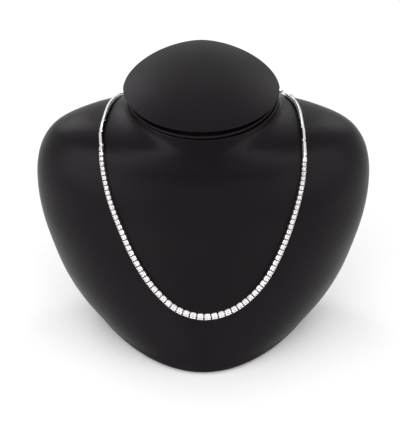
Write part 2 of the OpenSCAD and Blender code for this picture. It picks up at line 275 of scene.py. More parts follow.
class Shape:
    """Points and faces that are gathered before they become one mesh."""

    def __init__(self):
        self.points = []
        self.faces = []

    def add(self, points, faces):
        start = len(self.points)
        self.points.extend(np.asarray(p, float) for p in points)
        self.faces.extend(tuple(start + i for i in face) for face in faces)

    def add_rings(self, rings, first_point=None, last_point=None):
        """Joins closed rings of equal count, and closes each end with a face or with a point."""
        n = len(rings[0])
        points = [p for ring in rings for p in ring]
        faces = []
        for i in range(len(rings) - 1):
            for j in range(n):
                a = i * n + j
                b = i * n + (j + 1) % n
                faces.append((a, b, b + n, a + n))
        last = (len(rings) - 1) * n
        if first_point is None:
            faces.append(tuple(range(n - 1, -1, -1)))
        else:
            points.append(first_point)
            faces.extend(((j + 1) % n, j, len(points) - 1) for j in range(n))
        if last_point is None:
            faces.append(tuple(range(last, last + n)))
        else:
            points.append(last_point)
            faces.extend((last + j, last + (j + 1) % n, len(points) - 1) for j in range(n))
        self.add(points, faces)

    def add_loop(self, rings):
        """Joins closed rings of equal count, and the last of them to the first."""
        n = len(rings[0])
        total = n * len(rings)
        faces = []
        for i in range(0, total, n):
            for j in range(n):
                k = (j + 1) % n
                after = (i + n) % total
                faces.append((i + j, after + j, after + k, i + k))
        self.add([p for ring in rings for p in ring], faces)

    def moved(self, points):
        """The same faces, on other points."""
        other = Shape()
        other.points = list(points)
        other.faces = self.faces
        return other

    def placed(self, place):
        """The same shape, in the frame of a place."""
        return self.moved(place.to_row(self.points))

    def turned(self, quarter):
        """The same shape, turned about z by quarters of a turn."""
        c, s = ((1, 0), (0, 1), (-1, 0), (0, -1))[quarter % 4]
        return self.moved(np.array((c * x - s * y, s * x + c * y, z)) for x, y, z in self.points)

    def join(self, other):
        self.add(other.points, other.faces)


class Place:
    """A link's own frame: x along the chain, y across it and z outward from the skin."""

    def __init__(self, origin, along, outward):
        self.origin = np.asarray(origin, float)
        self.outward = unit(outward)
        along = np.asarray(along, float)
        self.along = unit(along - (along @ self.outward) * self.outward)
        self.across = np.cross(self.outward, self.along)
        self.axes = np.array([self.along, self.across, self.outward])

    def to_row(self, points):
        return self.origin + np.asarray(points, float) @ self.axes

    def from_row(self, points):
        return (np.asarray(points, float) - self.origin) @ self.axes.T


def unit(v):
    """The vector, or each vector of an array, at length 1."""
    v = np.asarray(v, float)
    return v / np.linalg.norm(v, axis=-1, keepdims=True)


def tangents(points, axis=0):
    """Directions along closed rings of points."""
    return np.roll(points, -1, axis=axis) - np.roll(points, 1, axis=axis)


def flat_outward(outline):
    """Directions out of a level outline that turns from +X to the back."""
    x, y, z = tangents(outline).T
    return unit(np.stack([y, -x, 0 * z], 1))


def cad_mesh(node):
    """Points and faces of a CAD node, with doubled points merged."""
    bm = bmesh.new()
    bm.from_mesh(NODES[node].data)
    bmesh.ops.remove_doubles(bm, verts=bm.verts, dist=MERGE)
    points = np.array([v.co for v in bm.verts], float)
    faces = [[v.index for v in f.verts] for f in bm.faces]
    bm.free()
    return points, faces


def loose_parts(points, faces):
    """Point sets of a mesh's separate parts."""
    owner = list(range(len(points)))

    def root(i):
        while owner[i] != i:
            owner[i] = owner[owner[i]]
            i = owner[i]
        return i

    for face in faces:
        for i in face[1:]:
            owner[root(i)] = root(face[0])
    groups = {}
    for i in range(len(points)):
        groups.setdefault(root(i), []).append(i)
    return [points[g] for g in groups.values()]


def circle(n, radius):
    turn = np.arange(n) * 2 * math.pi / n
    return np.stack([radius * np.cos(turn), radius * np.sin(turn)], 1)


def rounded(corners, steps):
    """Polyline through corners (x, y, radius), whose corners are rounded by arcs of about that radius."""
    points = []
    for i, (x, y, radius) in enumerate(corners):
        here = np.array((x, y), float)
        if radius <= 0 or i in (0, len(corners) - 1):
            points.append(here)
            continue
        before = unit(np.array(corners[i - 1][:2], float) - here)
        after = unit(np.array(corners[i + 1][:2], float) - here)
        half = math.acos(max(-1.0, min(1.0, before @ after))) / 2
        reach = radius / math.tan(half)
        middle = here + unit(before + after) * radius / math.sin(half)
        start = here + before * reach - middle
        end = here + after * reach - middle
        for k in range(steps + 1):
            f = k / steps
            points.append(middle + radius * unit(start * (1 - f) + end * f))
    return np.array(points)


def smooth_curve(rows, places, closed):
    """Rows of points at fractional places, on a smooth curve through the given rows."""
    n = len(rows)
    found = []
    for place in places:
        i = math.floor(place)
        if not closed:
            i = min(i, n - 2)
        f = place - i
        if closed:
            a, b, c, d = (rows[(i + k) % n] for k in (-1, 0, 1, 2))
        else:
            b, c = rows[i], rows[i + 1]
            a = rows[i - 1] if i > 0 else 2 * b - c
            d = rows[i + 2] if i + 2 < n else 2 * c - b
        found.append(0.5 * (2 * b + (c - a) * f + (2 * a - 5 * b + 4 * c - d) * f * f
                            + (3 * b - a - 3 * c + d) * f ** 3))
    return np.array(found)


def bend(a, corner, b, steps):
    """Points of a soft bend from a to b that a corner pulls, without its two ends."""
    return [(1 - f) ** 2 * a + 2 * f * (1 - f) * corner + f * f * b
            for f in (k / steps for k in range(1, steps))]


# Bust

# Steps between two points of the CAD's skin
SKIN_STEPS = 4
# The skin's folds at the base and at the rim: the rows that each takes up, how full each is, the steps of its
# bend, and how far in it ends, in shares of the height of those rows
BASE_BEND_ROWS = 4
RIM_BEND_ROWS = 2
BASE_FULLNESS = 0.85
RIM_FULLNESS = 0
BEND_STEPS = 7
FOLD_DEPTH = 2.5
# Extra columns on both sides of the back's seam, in shares of a column of the CAD's skin
SEAM_COLUMNS = (0.02, 0.045, 0.07, 0.11, 0.16)
# The seam: how far from the middle it reaches, its groove, and a lip on both sides of it
SEAM_ZONE = 3 * MM
SEAM_DEPTH = 0.35 * MM
SEAM_HALF_W = 0.35 * MM
SEAM_LIP = 0.12 * MM
SEAM_LIP_PLACE = 3 * SEAM_HALF_W
SEAM_LIP_HALF_W = 1.6 * SEAM_HALF_W
# The pad's size as a share of the base, its rounded edge, and how far in that edge lies and frays
PAD_SHARE = 0.93
PAD_ROUND = 0.4 * MM
PAD_STEPS = 4
PAD_BORDER = 6 * MM
PAD_INSET = 0.2 * MM
PAD_FRAY = 0.12 * MM
# The frayed edge's waves round the pad
FRAY_WAVES = (37, 61, 113)


def skin_rows():
    """Rows of points of the bust's skin from the base up. Each row starts at +X and turns to the back."""
    points, faces = cad_mesh("bust_body")
    over = {}
    for a, b, c in faces:
        for p, q, third in ((a, b, c), (b, c, a), (c, a, b)):
            over.setdefault(frozenset((p, q)), []).append(third)
    low = points[:, 2].min()
    base = [i for i in range(len(points)) if points[i, 2] < low + MERGE]
    side = points[max(base, key=lambda i: points[i, 0])]
    full = 2 * math.pi
    half_step = full / len(base) / 2

    def turn(i):
        angle = math.atan2(points[i, 1] - side[1], points[i, 0])
        return (angle + half_step) % full

    row = sorted(base, key=turn)
    rows = []
    seen = set()
    while row:
        rows.append(points[row])
        seen.update(row)
        above = []
        for k, a in enumerate(row):
            b = row[(k + 1) % len(row)]
            above += [t for t in over[frozenset((a, b))] if t not in seen][:1]
        row = above if len(above) == len(row) else []
    return np.array(rows)


def seam_shape(x):
    """How far the skin rises or falls, near the butt seam that runs down the middle of the back."""
    groove = -SEAM_DEPTH * np.exp(-(x / SEAM_HALF_W) ** 2)
    lip = SEAM_LIP * np.exp(-((np.abs(x) - SEAM_LIP_PLACE) / SEAM_LIP_HALF_W) ** 2)
    return groove + lip


def make_bust(material, rows):
    """Leatherette skin over the bust, wrapped round the edge of the base and tucked in at the neck."""
    n = rows.shape[1]
    levels = [i / SKIN_STEPS for i in range((len(rows) - 1) * SKIN_STEPS + 1)]
    back = n / 4
    near_seam = [back + s * c for c in SEAM_COLUMNS for s in (-1, 1)]
    columns = sorted({i / SKIN_STEPS for i in range(n * SKIN_STEPS)} | set(near_seam))
    skin = smooth_curve(rows, levels, False)
    skin = smooth_curve(skin.transpose(1, 0, 2), columns, True).transpose(1, 0, 2)
    normal = unit(np.cross(tangents(skin, 1), np.gradient(skin, axis=0)))
    on_back = (skin[:, :, 1] > 0) & (np.abs(skin[:, :, 0]) < SEAM_ZONE)
    skin += normal * (np.where(on_back, seam_shape(skin[:, :, 0]), 0))[:, :, None]

    def folded(edge, beside, direction, fullness):
        """Rings that bend from the row beside an edge over the edge and in. Full ones still reach the edge."""
        reach = np.linalg.norm(beside - edge, axis=1, keepdims=True)
        inward = direction * reach
        corner = edge + fullness * (edge - (beside + edge + inward) / 2)
        bent = bend(beside, corner, edge + inward, BEND_STEPS)
        return bent + [edge + inward, edge + FOLD_DEPTH * inward]

    base = folded(skin[0], skin[BASE_BEND_ROWS], -flat_outward(skin[0]), BASE_FULLNESS)
    rim_inward = unit(skin[-1].mean(0) - skin[-1])
    rim = folded(skin[-1], skin[-1 - RIM_BEND_ROWS], rim_inward, RIM_FULLNESS)
    rings = base[::-1] + list(skin[BASE_BEND_ROWS:-RIM_BEND_ROWS]) + rim
    shape = Shape()
    shape.add_rings(rings)
    piece = new_piece("bust_skin", shape, material, "bust_body")


def make_pad(material, rows):
    """Felt sheet glued under the base, with a soft cut edge."""
    outline = smooth_curve(rows[0], [i / SKIN_STEPS for i in range(rows.shape[1] * SKIN_STEPS)], True)
    low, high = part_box("base_pad")
    outline = outline * (PAD_SHARE, PAD_SHARE, 0)
    outward = flat_outward(outline)
    turn = np.arange(len(outline)) * 2 * math.pi / len(outline)
    slow, quick, fine = (np.sin(count * turn + i) for i, count in enumerate(FRAY_WAVES))
    frayed = PAD_FRAY * (slow * quick + 0.6 * fine)
    h = high.z - low.z
    profile = rounded([(-PAD_BORDER, 0, 0), (0, 0, PAD_ROUND), (0, h, PAD_ROUND), (-PAD_BORDER, h, 0)],
                      PAD_STEPS)
    rings = []
    for out, z in profile:
        share = (out + PAD_BORDER) / PAD_BORDER
        rings.append(outline + outward * (out + share * (frayed - PAD_INSET))[:, None] + (0, 0, low.z + z))
    shape = Shape()
    shape.add_rings(rings)
    new_piece("felt_pad", shape, material, "base_pad")


# Points round the cap and its ring, and steps of each rounded corner of their profiles
RIM_TURNS = 240
PROFILE_STEPS = 8


def rim_place(rows):
    """Frame of the neck's tilted rim: the ring's middle on it, +X and its upward normal."""
    n = rows.shape[1]
    back = rows[-1][n // 4]
    front = rows[-1][3 * n // 4]
    low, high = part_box("neck_ring")
    middle = (front + back) / 2
    middle[0] = (low.x + high.x) / 2
    return Place(middle, (1, 0, 0), np.cross((1, 0, 0), back - front))


def rim_sizes(place, node):
    """Lowest and highest point of a node over the rim, its radius and that of its foot."""
    points = place.from_row(cad_mesh(node)[0])
    radius = np.hypot(points[:, 0], points[:, 1])
    low = points[:, 2].min()
    foot = radius[points[:, 2] < low + NEAR].max()
    return low, points[:, 2].max(), radius.max(), foot


def lathe(shape, profile, place, turns=RIM_TURNS, outline=None):
    """Turns a profile of (radius, height) points, which starts and ends on the axis, about a place's z.

    An outline of (x, y) points of about unit size makes it oval.
    """
    flat = circle(turns, 1) if outline is None else outline
    rings = []
    for r, z in profile[1:-1]:
        rings.append(place.to_row(np.column_stack([flat * r, np.full(len(flat), z)])))
    shape.add_rings(rings, place.to_row([0, 0, profile[0][1]]), place.to_row([0, 0, profile[-1][1]]))


# Radius of small rounded edges, and how far inside them a flat's own last point lies
SMALL_ROUND = 0.1 * MM
INNER_STEP = 1 * MM
# The piping's roll, and how much of it its rounded edges take
RING_ROLL = 0.85 * MM
RING_OUTER_ROUND = 0.98 * RING_ROLL
RING_INNER_ROUND = 0.9 * RING_ROLL
RING_GROOVE_W = 2.4 * MM
RING_GROOVE_H = 0.8 * MM
RING_GROOVE_ROUND = 0.2 * MM


def make_ring(material, place):
    """Leatherette piping round the neck under the cap, with a groove behind its roll."""
    low, high, radius, foot = rim_sizes(place, "neck_ring")
    under = high - 2 * RING_ROLL
    behind = radius - 2 * RING_ROLL - SMALL_ROUND
    inner = behind - RING_GROOVE_W
    profile = rounded([
        (0, low, 0),
        (foot - INNER_STEP, low, 0),
        (foot, low, SMALL_ROUND),
        (foot, under, SMALL_ROUND),
        (radius, under, RING_OUTER_ROUND),
        (radius, high, RING_OUTER_ROUND),
        (behind, high, RING_INNER_ROUND),
        (behind, low + RING_GROOVE_H, RING_GROOVE_ROUND),
        (inner, low + RING_GROOVE_H, RING_GROOVE_ROUND),
        (inner, high, SMALL_ROUND),
        (inner - INNER_STEP, high, 0),
        (0, high, 0),
    ], PROFILE_STEPS)
    shape = Shape()
    lathe(shape, profile, place)
    new_piece("neck_ring_cover", shape, material, "neck_ring")


# Height of the cap's edge, its rounding below and above, and the foot under it
CAP_ROLL = 0.8 * MM
CAP_LOW_ROUND = 0.6 * CAP_ROLL
CAP_HIGH_ROUND = 0.7 * CAP_ROLL
CAP_TUCK = 1.6 * MM
CAP_TUCK_ROUND = 0.3 * MM
# The cap's foot, the start of its crown and the least radius of its edge, as shares of half its width
CAP_FOOT = 0.9
CROWN_START = 0.96
CAP_EDGE = 0.8
# Steps between two points of the CAD's edge, and the digits to which their angles are told apart
CAP_EDGE_STEPS = 3
ANGLE_DIGITS = 3
CROWN_RINGS = 48
CROWN_POWER = 2.3


def cap_outline(place):
    """Outline of the cap over the rim, as points (x, y) that are shares of half its width, and that half."""
    points = place.from_row(cad_mesh("neck_cap")[0])
    radius = np.hypot(points[:, 0], points[:, 1])
    turn = np.arctan2(points[:, 1], points[:, 0])
    widest = {}
    for i in np.argsort(turn):
        key = round(turn[i], ANGLE_DIGITS)
        if radius[i] > widest.get(key, (0, 0))[0]:
            widest[key] = (radius[i], turn[i])
    edge = np.array([(r * math.cos(a), r * math.sin(a))
                     for r, a in widest.values() if r > CAP_EDGE * radius.max()])
    half_w = np.abs(edge[:, 0]).max()
    places = [k / CAP_EDGE_STEPS for k in range(len(edge) * CAP_EDGE_STEPS)]
    return smooth_curve(edge / half_w, places, True), half_w


def make_cap(material, place):
    """Padded leatherette cap, crowned, pulled tight over its edge and tucked in to its foot."""
    low, high, _, _ = rim_sizes(place, "neck_cap")
    outline, half_w = cap_outline(place)
    under = low + CAP_TUCK
    foot = CAP_FOOT * half_w
    crown_h = high - under - CAP_ROLL

    def crown(r):
        return high - crown_h * (r / half_w) ** CROWN_POWER

    start = CROWN_START * half_w
    profile = list(rounded([
        (0, low, 0),
        (foot - INNER_STEP, low, 0),
        (foot, low, SMALL_ROUND),
        (foot, under, CAP_TUCK_ROUND),
        (half_w, under, CAP_LOW_ROUND),
        (half_w, crown(half_w), CAP_HIGH_ROUND),
        (start, crown(start), 0),
    ], PROFILE_STEPS))
    for k in range(1, CROWN_RINGS + 1):
        r = start * (1 - k / CROWN_RINGS)
        profile.append((r, crown(r)))
    shape = Shape()
    lathe(shape, profile, place, outline=outline)
    piece = new_piece("neck_cap_cover", shape, material, "neck_cap")


# Stones and their settings

def brilliant():
    """Round brilliant of diameter 1 in its setting's frame, with its 57 facets and a girdle of 32 sides."""
    radius = 0.5
    full = 2 * MAINS
    step = math.pi / MAINS
    girdle_low = GIRDLE_Z
    girdle_high = GIRDLE_Z + GIRDLE_H
    top = girdle_high + CROWN_H
    culet = girdle_low - PAVILION_H

    def polar(r, k, z):
        return np.array((r * math.cos(k * step), r * math.sin(k * step), z))

    star_r = TABLE_R * math.cos(step) + STAR_REACH * (radius - TABLE_R * math.cos(step))
    star_z = top - CROWN_H * (star_r * math.cos(step) - TABLE_R) / (radius - TABLE_R)
    half_r = LOWER_HALF_REACH * radius
    half_z = culet + PAVILION_H * half_r * math.cos(step) / radius

    def on_plane(a, b, c, k):
        """Point of the girdle's cylinder at angle k on the plane through a, b and c."""
        normal = np.cross(b - a, c - a)
        p = polar(radius, k, 0)
        z = a[2] - (normal[0] * (p[0] - a[0]) + normal[1] * (p[1] - a[1])) / normal[2]
        return polar(radius, k, z)

    points = []
    index = {}

    def point(key, value):
        index[key] = len(points)
        points.append(value)

    for i in range(MAINS):
        k = 2 * i
        point(("table", k), polar(TABLE_R, k, top))
        point(("star", k + 1), polar(star_r, k + 1, star_z))
        point(("half", k + 1), polar(half_r, k + 1, half_z))
    for k in range(full):
        point(("high", k), polar(radius, k, girdle_high))
        point(("low", k), polar(radius, k, girdle_low))
    point(("culet", 0), np.array((0, 0, culet)))
    for k in range(full):
        odd = k if k % 2 else k + 1
        main = k + 1 if k % 2 else k
        star = points[index["star", odd % full]]
        half = points[index["half", odd % full]]
        high = (polar(radius, main, girdle_high), polar(radius, odd, girdle_high))
        low = (polar(radius, main, girdle_low), polar(radius, odd, girdle_low))
        point(("high", k + 0.5), on_plane(star, *high, k + 0.5))
        point(("low", k + 0.5), on_plane(half, *low, k + 0.5))

    def face(*keys):
        return tuple(index[(name, k % full)] for name, k in keys)

    faces = [face(*[("table", 2 * i) for i in range(MAINS)])]
    for i in range(MAINS):
        k = 2 * i
        faces.append(face(("table", k), ("star", k + 1), ("table", k + 2))[::-1])
        faces.append(face(("table", k), ("star", k - 1), ("high", k), ("star", k + 1)))
        faces.append(face(("star", k + 1), ("high", k), ("high", k + 0.5), ("high", k + 1)))
        faces.append(face(("star", k + 1), ("high", k + 1), ("high", k + 1.5), ("high", k + 2)))
        faces.append(face(("culet", 0), ("half", k + 1), ("low", k), ("half", k - 1)))
        faces.append(face(("half", k + 1), ("low", k + 1), ("low", k + 0.5), ("low", k)))
        faces.append(face(("half", k + 1), ("low", k + 2), ("low", k + 1.5), ("low", k + 1)))
    for k in range(full):
        faces.append(face(("low", k), ("low", k + 0.5), ("high", k + 0.5), ("high", k)))
        faces.append(face(("low", k + 0.5), ("low", k + 1), ("high", k + 1), ("high", k + 0.5)))
    return np.array(points), faces


# Points of the CAD's stone at more than this share of its radius are on its girdle
GIRDLE_SHARE = 0.98
# How far over the highest stone the point lies from which the stones are counted round
COUNT_ABOVE = 1 * MM


class Stone:
    """A stone of the CAD model: its node, its place on the chain and its diameter."""

    def __init__(self, node, points):
        self.node = node
        middle = points.mean(0)
        axis = np.linalg.svd(points - middle)[2][2]
        away = points - middle
        radial = np.linalg.norm(away - np.outer(away @ axis, axis), axis=1)
        girdle = points[radial > GIRDLE_SHARE * radial.max()]
        middle = girdle.mean(0)
        height = (points - middle) @ axis
        if -height.min() < height.max():
            axis = -axis
            height = -height
        away = girdle - middle
        self.d = 2 * np.linalg.norm(away - np.outer(away @ axis, axis), axis=1).mean()
        self.outward = axis
        self.origin = middle + axis * (height.min() - CULET_Z * self.d)
        self.place = None


def ordered_stones():
    """All stones, from the last on the left round the front to the last on the right."""
    stones = []
    for node in NODES:
        if node.startswith("stone"):
            stones += [Stone(node, p) for p in loose_parts(*cad_mesh(node))]
    top = max(s.origin[2] for s in stones) + COUNT_ABOVE
    stones.sort(key=lambda s: math.atan2(s.origin[2] - top, s.origin[0]))
    for i, stone in enumerate(stones):
        before = stones[max(i - 1, 0)].origin
        after = stones[min(i + 1, len(stones) - 1)].origin
        stone.place = Place(stone.origin, after - before, stone.outward)
    return stones


# Gap to the next prong on the outer side, and how far prongs stand out there at most and on the inner side
PRONG_GAP = 0.07 * MM
PRONG_OUT_MAX = 0.2 * MM
PRONG_OUT_INNER = 0.03 * MM
# The collet's walls, how far from the stone's axis its prongs end and how thick they are, in shares of the
# stone's diameter
WALL_T = 0.1
WALL_H = 0.57
WALL_CHAMFER = 0.1
WALL_INSET = 0.02
END_WALL_H = 0.3
PRONG_TIP_AT = 0.475
POST_R = 0.105
# Points of a prong, as (share of the way from its foot in to its end, height, radius)
PRONG = (
    (0, 0, POST_R),
    (0, 0.32, POST_R),
    (0.08, 0.49, POST_R),
    (0.28, 0.61, POST_R),
    (0.58, 0.67, 0.106),
    (0.85, 0.69, 0.1),
)
# In shares of a prong's radius: how far in its foot stands, and the gap it leaves in a wall's end
POST_INSET = 0.92
WALL_TRIM = 0.4
TUBE_SIDES = 12
# A tube's first ring starts across the first of these directions, or the second where the tube is upright
ACROSS_HINTS = ((0.31, 0.2, 0.93), (1, 0, 0))
UPRIGHT = 0.9
# Rings of a tube's rounded end, as shares of its radius
TUBE_END = (0.45, 0.8)


def tube(path, radii):
    """Round tube along a path with a rounded far end."""
    path = np.asarray(path, float)
    rings = []
    side = None

    def ring(middle, radius):
        flat = circle(TUBE_SIDES, radius)
        rings.append(middle + flat[:, :1] * side + flat[:, 1:] * other)

    for i, p in enumerate(path):
        ahead = unit(path[min(i + 1, len(path) - 1)] - path[max(i - 1, 0)])
        if side is None:
            side = unit(np.cross(ahead, ACROSS_HINTS[abs(ahead[2]) >= UPRIGHT]))
        side = unit(side - (side @ ahead) * ahead)
        other = np.cross(ahead, side)
        ring(p, radii[i])
    ahead = unit(path[-1] - path[-2]) * radii[-1]
    for share in TUBE_END:
        ring(path[-1] + ahead * share, radii[-1] * math.cos(math.asin(share)))
    shape = Shape()
    shape.add_rings(rings, None, path[-1] + ahead)
    return shape


def rail(half_l, high, outer, thickness, chamfer):
    """Upright bar along x on the side of negative y, whose outer top edge is chamfered."""
    inner = outer + thickness
    section = [(outer, 0), (inner, 0), (inner, high), (outer + chamfer, high), (outer, high - chamfer)]
    shape = Shape()
    shape.add_rings([[(x, y, z) for y, z in section] for x in (-half_l, half_l)])
    return shape


def collet_halves(d):
    """Half the length and half the width of a stone's collet."""
    pitch = d / STONE_SHARE
    return (pitch - LINK_GAP) / 2, SETTING_SHARE * pitch / 2


def prong_reach(stone, other, x, y):
    """How far a stone's prong stands out at its end x and side y, nearly to the prong of the next collet."""
    if other is None or y > 0:
        return PRONG_OUT_INNER
    half_l, half_w = collet_halves(stone.d)
    other_l, other_w = collet_halves(other.d)
    here = stone.place.to_row([x * half_l, y * half_w, 0.5 * stone.d])
    there = other.place.to_row([-x * other_l, y * other_w, 0.5 * other.d])
    away = (there - here) @ (x * stone.place.along)
    return min(max((away - PRONG_GAP) / 2, 0), PRONG_OUT_MAX)


def collet(d, reaches):
    """Square collet in its own frame, with low end walls, high walls along the chain and four prongs."""
    half_l, half_w = collet_halves(d)
    post = POST_R * d
    shape = Shape()
    sides = ((half_w, half_l, WALL_H), (half_l, half_w, END_WALL_H)) * 2
    for quarter, (reach, span, high) in enumerate(sides):
        wall = rail(span - WALL_TRIM * post, high * d, WALL_INSET * d - reach, WALL_T * d, WALL_CHAMFER * d)
        shape.join(wall.turned(quarter))
    for x in (-1, 1):
        for y in (-1, 1):
            foot = np.array((x * (half_l + reaches[x, y] - POST_INSET * post),
                             y * (half_w - POST_INSET * post), 0))
            inward = -unit(foot) * (np.linalg.norm(foot) - PRONG_TIP_AT * d)
            path = [foot + inward * share + (0, 0, high * d) for share, high, _ in PRONG]
            shape.join(tube(path, [radius * d for _, _, radius in PRONG]))
    return shape


# How far the rods between links reach into them, and each kind's height over the links' underside and radius
ROD_ROOT = 0.25 * MM
ROW_ROD = (0.42 * MM, 0.15 * MM)
BAR_ROD = (0.6 * MM, 0.3 * MM)
LAST_ROD = (0.5 * MM, 0.25 * MM)


def rod(start, end, radius):
    return tube([start, (start + end) / 2, end], [radius] * 3)


def hinge(shape, a, b, sizes):
    """Rod that joins two neighbouring places end to end, where a's end meets b's start."""
    (place_a, end_a), (place_b, end_b) = a, b
    height, radius = sizes
    start = place_a.to_row([end_a - ROD_ROOT, 0, height])
    end = place_b.to_row([end_b + ROD_ROOT, 0, height])
    shape.join(rod(start, end, radius))


def make_rows(stones, gold, glass):
    """One piece of collets and one of stones for each row of the CAD model."""
    points, faces = brilliant()
    by_node = {}
    for i, stone in enumerate(stones):
        by_node.setdefault(stone.node, []).append(i)
    for node, members in by_node.items():
        row = node.replace("stones_", "row_").replace("stone_", "row_")
        metal = Shape()
        gems = Shape()
        for i in members:
            stone = stones[i]
            before = stones[i - 1] if i > 0 else None
            after = stones[i + 1] if i + 1 < len(stones) else None
            reaches = {(x, y): prong_reach(stone, before if x < 0 else after, x, y)
                       for x in (-1, 1) for y in (-1, 1)}
            metal.join(collet(stone.d, reaches).placed(stone.place))
            gems.add(stone.place.to_row(points * stone.d), faces)
            if after:
                hinge(metal, (stone.place, collet_halves(stone.d)[0]),
                      (after.place, -collet_halves(after.d)[0]), ROW_ROD)
        piece = new_piece(row.replace("row_", "collets_"), metal, gold, row)
        soften(piece, COLLET_BEVEL)
        new_piece(node.replace("stone", "diamond"), gems, glass, node, smooth=False)


COLLET_BEVEL = 0.035 * MM
LINK_BEVEL = 0.05 * MM
BEVEL_SEGMENTS = 2
BEVEL_ANGLE = math.radians(40)


def soften(piece, width):
    """Rounds the sharp edges of a metal piece and keeps its flats flat."""
    bevel = piece.modifiers.new("bevel", "BEVEL")
    bevel.width = width
    bevel.segments = BEVEL_SEGMENTS
    bevel.limit_method = "ANGLE"
    bevel.angle_limit = BEVEL_ANGLE
    bevel.harden_normals = False
    bevel.use_clamp_overlap = True
    weighted = piece.modifiers.new("weighted", "WEIGHTED_NORMAL")
    weighted.keep_sharp = True


# Plain links and clasp

def chain_nodes():
    """Plain links and the clasp, in the order in which they follow the right stones round the back."""
    return (["taper_right"] + [f"bar_right_{i + 1}" for i in range(BARS_RIGHT)] + ["clasp"]
            + [f"bar_left_{i + 1}" for i in range(BARS_LEFT)] + ["taper_left"])


# Least cosine between the normals of one flat side, most cosine of one that faces away, and how near a link's
# end its width is measured
SAME_FLAT = 0.9995
FACING = -0.7
END_ZONE = 0.1 * MM


def flats(points, faces):
    """Area and normal of each flat side of a mesh, the largest first."""
    found = []
    for face in faces:
        a, b, c = (points[i] for i in face[:3])
        cross = np.cross(b - a, c - a) / 2
        area = np.linalg.norm(cross)
        if area == 0:
            continue
        for flat in found:
            if flat[1] @ cross > SAME_FLAT * area:
                flat[0] += area
                break
        else:
            found.append([area, cross / area])
    return sorted(found, key=lambda flat: -flat[0])


class Link:
    """A plain link of the CAD model: its place, whose origin is under its middle, and its size."""

    def __init__(self, node, before, after, tree):
        self.node = node
        points, faces = cad_mesh(node)
        middle = points.mean(0)
        outward = unit(middle - np.array(tree.find_nearest(Vector(middle))[0]))
        chord = unit(after - before)
        sides = flats(points, faces)
        under = next(n for _, n in sides if n @ outward < FACING)
        start = next(n for _, n in sides if n @ chord < FACING)
        place = Place(middle, -start, -under)
        local = place.from_row(points)
        flat = points[local[:, 2] < local[:, 2].min() + NEAR]
        local = place.from_row(flat)
        self.place = Place(place.to_row((local.min(0) + local.max(0)) / 2), place.along, place.outward)
        local = self.place.from_row(flat)
        self.half_l = local[:, 0].max()
        self.half_w_start = np.abs(local[local[:, 0] < END_ZONE - self.half_l][:, 1]).max()
        self.half_w_end = np.abs(local[local[:, 0] > self.half_l - END_ZONE][:, 1]).max()
        self.height = self.place.from_row(points)[:, 2].max()


def chain_links(stones):
    """The plain links and the clasp, in the order of chain_nodes."""
    points, faces = cad_mesh("bust_body")
    tree = BVHTree.FromPolygons([Vector(p) for p in points], faces)
    names = chain_nodes()
    middles = ([stones[-1].origin] + [cad_mesh(name)[0].mean(0) for name in names] + [stones[0].origin])
    return [Link(name, middles[i], middles[i + 2], tree) for i, name in enumerate(names)]


BAR_DOME = 0.32 * MM
BAR_DOME_POWER = 0.8
BAR_DOME_STEPS = 8
BAR_REACH = 0.1 * MM
BAR_PLACES = (-1, -0.93, -0.6, 0, 0.6, 0.93, 1)
# How much lower and narrower a bar is at its two ends, and its lower edges' chamfer
BAR_END_DROP = 0.1 * MM
BAR_END_WAIST = 0.06 * MM
BAR_EDGE_W = 0.12 * MM
BAR_EDGE_H = 0.16 * MM
# The ear across a hinge: its radius, the least half width it is made for and how far it stands out
EAR_R = 0.21 * MM
EAR_LEAST = 0.9 * MM
EAR_OUT = 0.12 * MM


def bar_shape(link):
    """Bar with a softly domed top and slightly waisted ends."""
    shape = Shape()
    rings = []
    for x in BAR_PLACES:
        at_end = abs(x) == 1
        half_w = link.half_w_start + (link.half_w_end - link.half_w_start) * (x + 1) / 2
        half_w -= BAR_END_WAIST if at_end else 0
        top = link.height - BAR_DOME - (BAR_END_DROP if at_end else 0)
        section = [(BAR_EDGE_W - half_w, 0), (half_w - BAR_EDGE_W, 0), (half_w, BAR_EDGE_H), (half_w, top)]
        for k in range(1, BAR_DOME_STEPS):
            a = math.pi * k / BAR_DOME_STEPS
            section.append((half_w * math.cos(a), top + BAR_DOME * math.sin(a) ** BAR_DOME_POWER))
        section += [(-half_w, top), (-half_w, BAR_EDGE_H)]
        rings.append([(x * (link.half_l + BAR_REACH), y, z) for y, z in section])
    shape.add_rings(rings)
    return shape


def make_links(links, stones, gold):
    """Plain bar links and the two tapered ones, each hinged to the next, with an ear across the hinge."""
    for i, link in enumerate(links):
        if link.node == "clasp":
            continue
        shape = bar_shape(link).placed(link.place)
        if i + 1 < len(links):
            after = links[i + 1]
            hinge(shape, (link.place, link.half_l), (after.place, -after.half_l), BAR_ROD)
            middle = (link.place.to_row([link.half_l, 0, BAR_ROD[0]])
                      + after.place.to_row([-after.half_l, 0, BAR_ROD[0]])) / 2
            reach = unit(link.place.across + after.place.across) * (max(link.half_w_end, EAR_LEAST) + EAR_OUT)
            shape.join(rod(middle - reach, middle + reach, EAR_R))
        else:
            first = stones[0]
            hinge(shape, (link.place, link.half_l), (first.place, -collet_halves(first.d)[0]), LAST_ROD)
        piece = new_piece("link_" + link.node, shape, gold, link.node)
        soften(piece, LINK_BEVEL)


CLASP_L = 7.5 * MM
CLASP_HALF_W = 1.5 * MM
CLASP_H = 2 * MM
CLASP_END_DROP = 0.15 * MM
CLASP_TOP_EDGE = 0.25 * MM
CLASP_LOW_EDGE = 0.2 * MM
# Shares of the box's length: the ends of its full height, the start of its grooves and the length they take
CLASP_FLAT = (0.12, 0.86)
GROOVES_AT = 0.16
GROOVES_L = 0.62
GROOVES = 7
# Points of a groove, as (share of the grooves' pitch, depth)
GROOVE = ((0, 0), (0.3, 0.22 * MM), (0.55, 0.22 * MM), (0.85, 0))
LOOP_R = 1.6 * MM
WIRE_R = 0.35 * MM
LOOP_TURNS = 40
WIRE_SIDES = 12
